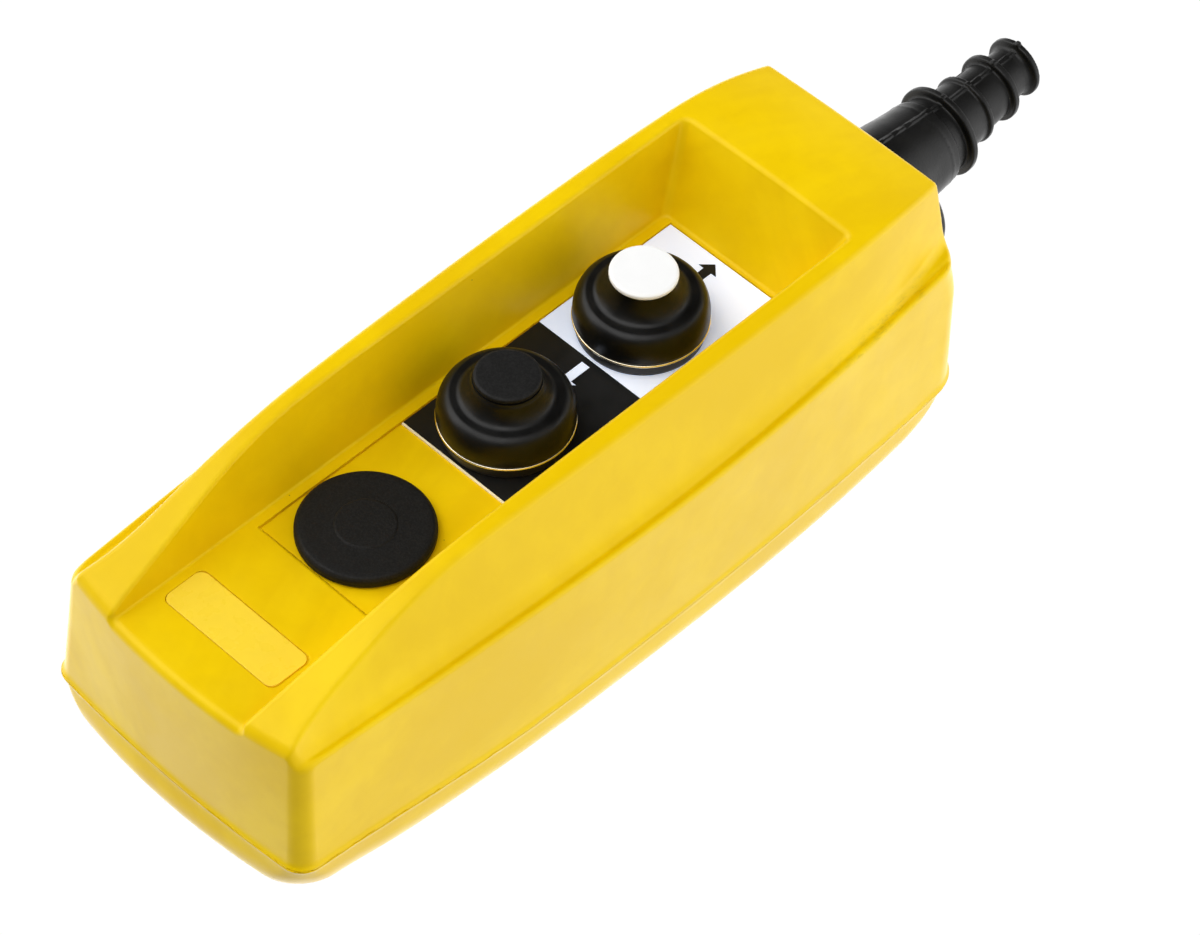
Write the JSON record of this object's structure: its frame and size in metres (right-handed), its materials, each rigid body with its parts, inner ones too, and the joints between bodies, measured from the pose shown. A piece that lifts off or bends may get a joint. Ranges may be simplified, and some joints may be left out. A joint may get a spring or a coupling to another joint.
{
  "type": "pendant control station",
  "caption": "Hand-held pendant hoist control station: barrel-shaped two-shell plastic casing, guarded recessed face with booted push buttons, blanking plug and stepped rubber cable sleeve.",
  "frame": {"origin": "foot of the middle control unit's axis on the plane of the casing's flat back land", "axes": "+Z out of the front face along the push buttons, +Y along the casing to the cable sleeve (upwards when it hangs), +X to the right seen from the front"},
  "size_m": [0.0808, 0.2574, 0.0701],
  "materials": {
    "yellow_casing": "satin moulded yellow polypropylene with faint flow marks and scuffs",
    "black_rubber": "matte black rubber with fine dust",
    "black_plastic": "matte black moulded plastic with fine texture",
    "white_plastic": "smooth white plastic",
    "grey_plastic": "grey moulded polyamide",
    "white_legend": "light grey-white engraved legend plate",
    "black_legend": "black legend plate",
    "pale_yellow_plate": "translucent pale yellow adhesive plate",
    "pale_brass": "pale gold thin metal ring",
    "zinc_steel": "zinc plated steel",
    "spring_steel": "bright spring steel",
    "copper_contact": "copper strip with silver contact tips"
  },
  "bodies": {
    "enclosure": {"blanking_plug": "black_plastic", "cable_clamp": "grey_plastic", "cable_sleeve": "black_rubber", "carrier_screws": "zinc_steel", "clamp_screws": "zinc_steel", "contact_carrier": "grey_plastic", "cover_screws": "zinc_steel", "front_shell": "yellow_casing", "lower_block_housing": "grey_plastic", "lower_block_spring": "spring_steel", "lower_boot": "black_rubber", "lower_clamp_ring": "pale_brass", "lower_fixed_contacts": "copper_contact", "lower_head_body": "black_plastic", "lower_head_gasket": "black_rubber", "lower_head_nut": "black_plastic", "lower_legend": "black_legend", "lower_return_spring": "spring_steel", "lower_terminal_screws": "zinc_steel", "nameplate": "pale_yellow_plate", "plug_nut": "black_plastic", "plug_seal": "black_rubber", "raise_block_housing": "grey_plastic", "raise_block_spring": "spring_steel", "raise_boot": "black_rubber", "raise_clamp_ring": "pale_brass", "raise_fixed_contacts": "copper_contact", "raise_head_body": "black_plastic", "raise_head_gasket": "black_rubber", "raise_head_nut": "black_plastic", "raise_legend": "white_legend", "raise_return_spring": "spring_steel", "raise_terminal_screws": "zinc_steel", "rear_shell": "yellow_casing", "retainer_screws": "zinc_steel", "shell_seal": "black_rubber", "sleeve_retainer": "grey_plastic"},
    "raise_button": {"raise_cap": "white_plastic", "raise_plunger": "grey_plastic", "raise_stem_clip": "spring_steel"},
    "lower_button": {"lower_cap": "black_plastic", "lower_plunger": "grey_plastic", "lower_stem_clip": "spring_steel"},
    "raise_contact": {"raise_block_plunger": "white_plastic", "raise_contact_bridge": "copper_contact"},
    "lower_contact": {"lower_block_plunger": "white_plastic", "lower_contact_bridge": "copper_contact"}
  },
  "joints": [
    {"name": "raise_press", "type": "slide", "parent": "enclosure", "child": "raise_button", "axis": [0, 0, -1], "range_m": [0, 0.004], "stiffness_N_per_m": 350, "springref_m": -0.006, "deforming": ["raise_return_spring", "raise_boot"]},
    {"name": "raise_contact_travel", "type": "slide", "parent": "enclosure", "child": "raise_contact", "axis": [0, 0, -1], "range_m": [0, 0.004], "deforming": ["raise_block_spring"]},
    {"name": "lower_press", "type": "slide", "parent": "enclosure", "child": "lower_button", "axis": [0, 0, -1], "range_m": [0, 0.004], "stiffness_N_per_m": 350, "springref_m": -0.006, "deforming": ["lower_return_spring", "lower_boot"]},
    {"name": "lower_contact_travel", "type": "slide", "parent": "enclosure", "child": "lower_contact", "axis": [0, 0, -1], "range_m": [0, 0.004], "deforming": ["lower_block_spring"]}
  ],
  "couplings": [
    {"joint": "raise_contact_travel", "follows": "raise_press", "ratio": 1},
    {"joint": "lower_contact_travel", "follows": "lower_press", "ratio": 1}
  ]
}
